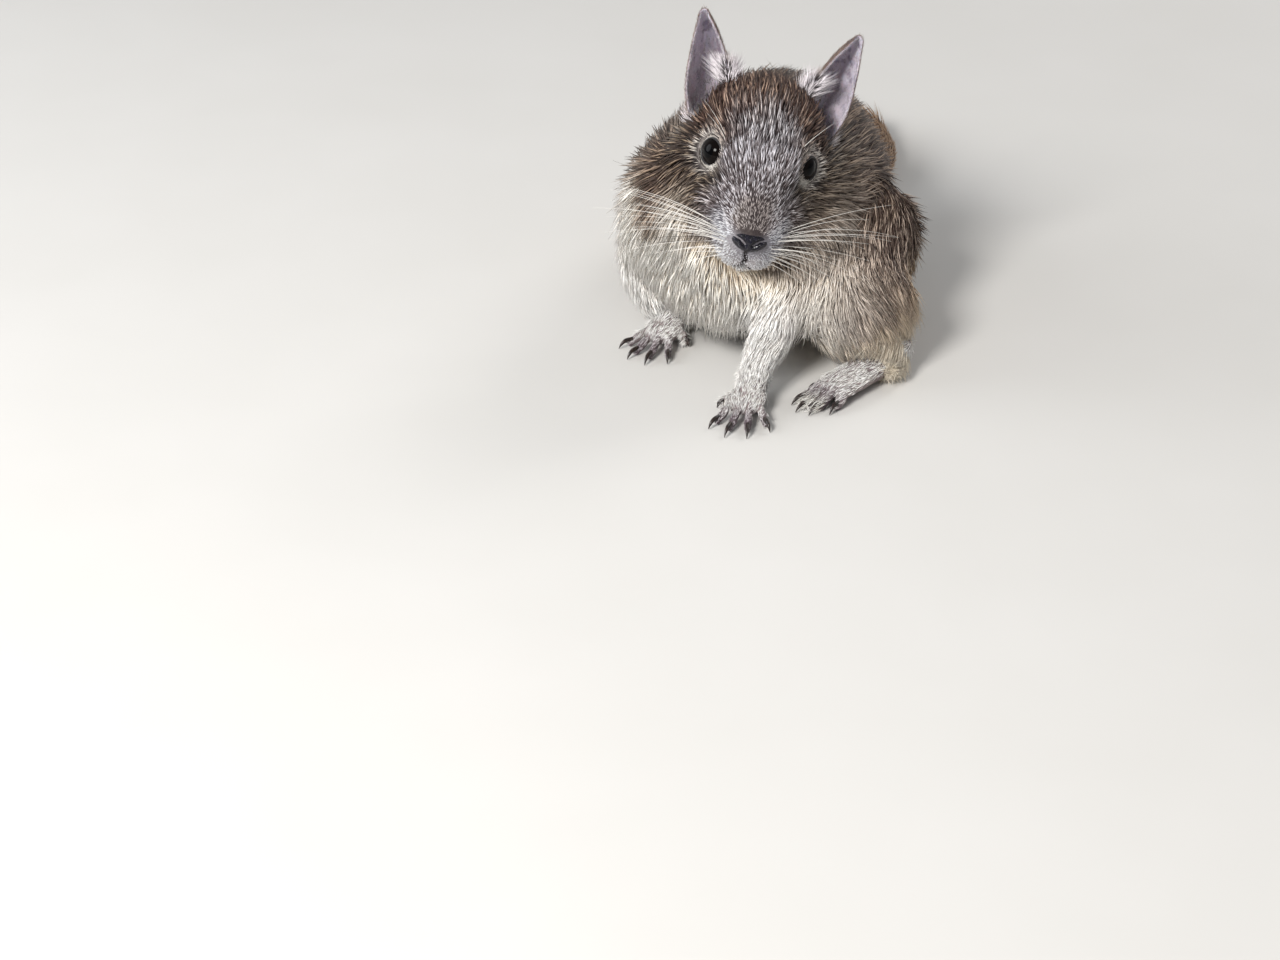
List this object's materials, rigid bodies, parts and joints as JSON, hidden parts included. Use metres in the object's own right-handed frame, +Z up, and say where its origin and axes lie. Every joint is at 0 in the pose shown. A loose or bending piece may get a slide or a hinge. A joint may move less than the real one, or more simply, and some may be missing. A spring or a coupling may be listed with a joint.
{
  "type": "degu",
  "caption": "Small brown rodent crouched on all fours, with tall rounded ears, long whiskers and a dark brush at the tip of its tail.",
  "frame": {"origin": "on the floor, under the middle of the whole animal", "axes": "+Z up, the body faces -Y and the animal's own left side is +X"},
  "size_m": [0.1138, 0.2066, 0.0899],
  "materials": {
    "coat": "short dense fur",
    "ear": "thin bare skin with fine hairs",
    "foot": "skin with very short hairs, dark claws",
    "eye": "wet gloss",
    "brush": "long dark hair"
  },
  "bodies": {
    "root": {"head": "coat", "neck": "coat", "torso": "coat", "ear_left": "ear", "ear_right": "ear", "eye_left": "eye", "eye_right": "eye", "foreleg_left": "coat", "foreleg_right": "coat", "hindleg_left": "coat", "hindleg_right": "coat", "forefoot_left": "foot", "forefoot_right": "foot", "hindfoot_left": "foot", "hindfoot_right": "foot", "tail_base": "coat", "tail_middle": "coat", "tail_brush": "brush"}
  },
  "joints": []
}
